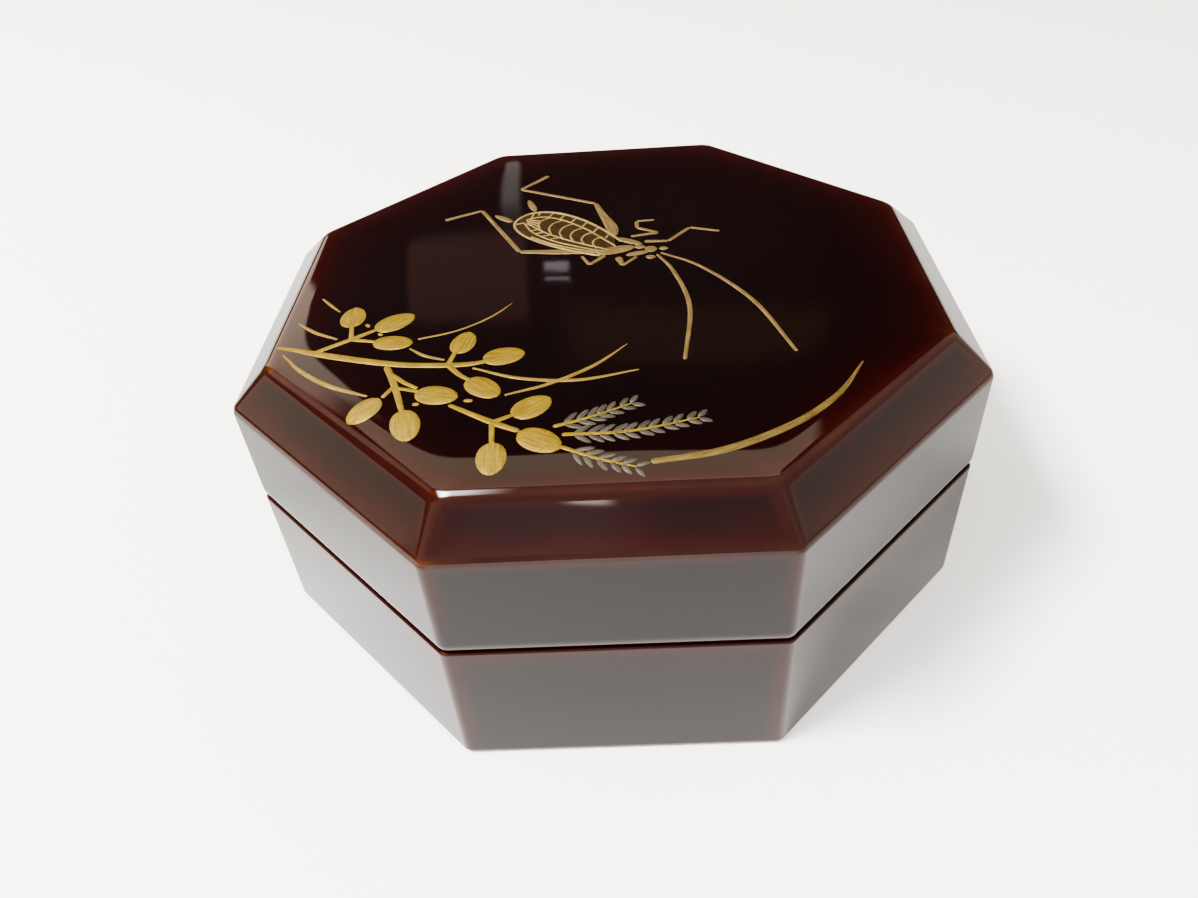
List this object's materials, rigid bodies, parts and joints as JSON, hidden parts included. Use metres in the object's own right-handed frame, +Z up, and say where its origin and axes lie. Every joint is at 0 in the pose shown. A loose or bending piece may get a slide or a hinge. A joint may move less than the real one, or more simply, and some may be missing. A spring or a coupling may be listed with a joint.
{
  "type": "incense box",
  "caption": "Octagonal lacquered incense box with a bevelled lift-off lid over an inner lip; holds small incense pieces and stands on its flat underside.",
  "frame": {"origin": "middle of the flat underside", "axes": "+Z up out of the lid's top, -Y out of one of the flat sides"},
  "size_m": [0.075, 0.075, 0.0322],
  "materials": {
    "brown_lacquer": "translucent near-black brown lacquer on wood, polished to a mirror, redder on its edges",
    "gold_powder": "sprinkled gold powder drawing, satin",
    "silver_powder": "sprinkled silver powder drawing, satin and slightly dulled"
  },
  "bodies": {
    "root": {"box": "brown_lacquer", "lid": "brown_lacquer"}
  },
  "joints": []
}
